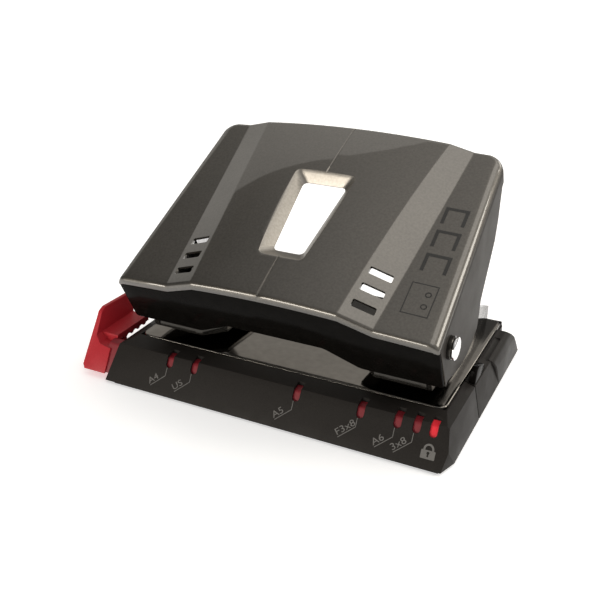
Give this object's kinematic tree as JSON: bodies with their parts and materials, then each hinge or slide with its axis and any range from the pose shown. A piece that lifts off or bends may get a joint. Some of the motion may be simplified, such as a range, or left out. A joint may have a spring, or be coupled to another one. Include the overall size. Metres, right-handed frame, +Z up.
{
  "type": "hole punch",
  "caption": "Two-hole office paper punch with a painted lever handle, steel paper table, sliding red paper guide with size windows and a chip drawer.",
  "frame": {"origin": "centre of the base's underside, on the surface that the punch stands on", "axes": "+X along the base to the user's right, +Y to the back, +Z up"},
  "size_m": [0.1225, 0.0783, 0.0734],
  "materials": {
    "black_plastic": "satin",
    "gloss_black": "gloss",
    "rubber": "matte",
    "coated_steel": "gloss",
    "tool_steel": "ground",
    "bush_brass": "turned",
    "bright_chrome": "polished",
    "handle_paint": "metallic satin",
    "red_plastic": "gloss",
    "red_plastic_dark": "satin",
    "red_marker": "gloss"
  },
  "bodies": {
    "base": {"base_housing": "black_plastic", "base_mat": "rubber", "paper_table": "coated_steel", "die_left": "tool_steel", "die_right": "tool_steel", "punch_frame_left": "coated_steel", "punch_frame_right": "coated_steel", "frame_rivets": "tool_steel", "pin_bush_left": "bush_brass", "pin_bush_right": "bush_brass", "return_spring_left": "tool_steel", "return_spring_right": "tool_steel", "pivot_axle": "tool_steel", "pivot_collar_left": "gloss_black", "pivot_collar_right": "gloss_black", "axle_head_left": "bright_chrome", "axle_head_right": "bright_chrome"},
    "handle": {"handle_shell": "handle_paint", "handle_front_panel": "gloss_black", "press_cam_left": "tool_steel", "press_cam_right": "tool_steel"},
    "pin_l": {"punch_pin_left": "tool_steel", "pin_head_left": "tool_steel"},
    "pin_r": {"punch_pin_right": "tool_steel", "pin_head_right": "tool_steel"},
    "guide": {"guide_bar": "red_plastic_dark", "guide_stop": "red_plastic", "position_marker": "red_marker"},
    "drawer": {"chip_drawer": "black_plastic", "drawer_catch": "gloss_black"}
  },
  "joints": [
    {"name": "handle_hinge", "type": "hinge", "parent": "base", "child": "handle", "pos_m": [0, -0.0265, 0.032], "axis": [1, 0, 0], "range_deg": [-17, 0], "stiffness_Nm_per_rad": 1, "springref_deg": 6.88},
    {"name": "pin_slide_left", "type": "slide", "parent": "base", "child": "pin_l", "axis": [0, 0, 1], "range_m": [-0.0068, 0], "deforming": ["return_spring_left"]},
    {"name": "pin_slide_right", "type": "slide", "parent": "base", "child": "pin_r", "axis": [0, 0, 1], "range_m": [-0.0068, 0], "deforming": ["return_spring_right"]},
    {"name": "guide_slide", "type": "slide", "parent": "base", "child": "guide", "axis": [-1, 0, 0], "range_m": [0, 0.0848]},
    {"name": "drawer_slide", "type": "slide", "parent": "base", "child": "drawer", "axis": [1, 0, 0], "range_m": [0, 0.06]}
  ],
  "couplings": [
    {"joint": "pin_slide_left", "follows": "handle_hinge", "m_per_rad": 0.0225},
    {"joint": "pin_slide_right", "follows": "handle_hinge", "m_per_rad": 0.0225}
  ]
}
